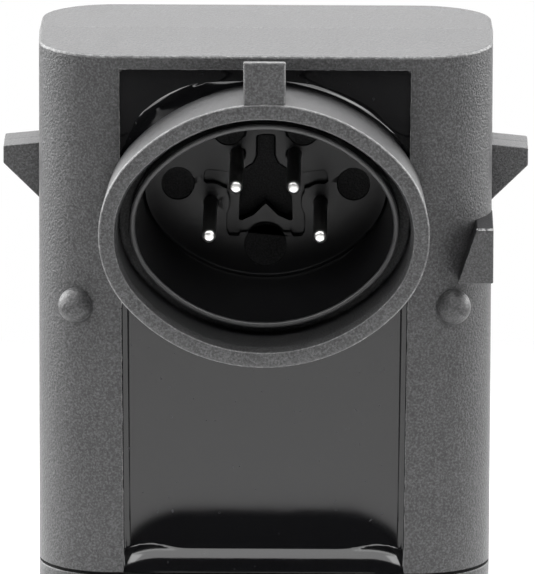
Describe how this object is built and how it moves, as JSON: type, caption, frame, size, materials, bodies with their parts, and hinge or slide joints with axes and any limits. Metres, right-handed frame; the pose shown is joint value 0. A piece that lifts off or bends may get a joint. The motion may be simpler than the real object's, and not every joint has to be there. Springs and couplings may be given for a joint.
{
  "type": "parking sensor",
  "caption": "Right-angle ultrasonic parking sensor: round membrane head, upright casing with snap wings, potted back window and an oval keyed plug socket with contact pins.",
  "frame": {"origin": "centre of the membrane's outer face", "axes": "+Z from the membrane up through the casing, -Y out of the plug socket, +X to the hook's side"},
  "size_m": [0.0266, 0.0224, 0.0394],
  "materials": {
    "casing": "moulded, finely textured",
    "shroud": "moulded, finely textured",
    "carrier": "moulded, polished",
    "pins": "tin plated",
    "potting": "poured, glossy",
    "head": "moulded, finely textured",
    "silicone": "moulded silicone, satin",
    "membrane": "primed aluminium, satin",
    "piezo": "sintered, silvered faces",
    "felt": "pressed felt",
    "filling": "foamed silicone",
    "support": "moulded",
    "copper": "enamelled copper wire",
    "board": "solder resist",
    "chip": "moulded epoxy",
    "ferrite": "sintered ferrite",
    "tantalum": "moulded epoxy",
    "ceramic_part": "ceramic with tinned ends",
    "resistor": "glazed film on ceramic",
    "solder": "tin solder"
  },
  "bodies": {
    "root": {"casing": "casing", "connector_shroud": "shroud", "pin_carrier": "carrier", "contact_pin_1": "pins", "contact_pin_2": "pins", "contact_pin_3": "pins", "contact_pin_4": "pins", "potting_compound": "potting", "head_housing": "head", "decoupling_ring": "silicone", "membrane_cup": "membrane", "piezo_disc": "piezo", "damping_pad": "felt", "cup_filling": "filling", "support_ring": "support", "transducer_lead_1": "copper", "transducer_lead_2": "copper", "circuit_board": "board", "driver_chip": "chip", "transformer_core": "ferrite", "transformer_winding": "copper", "storage_capacitor": "tantalum", "chip_capacitors": "ceramic_part", "chip_resistors": "resistor", "solder_joints": "solder"}
  },
  "joints": []
}
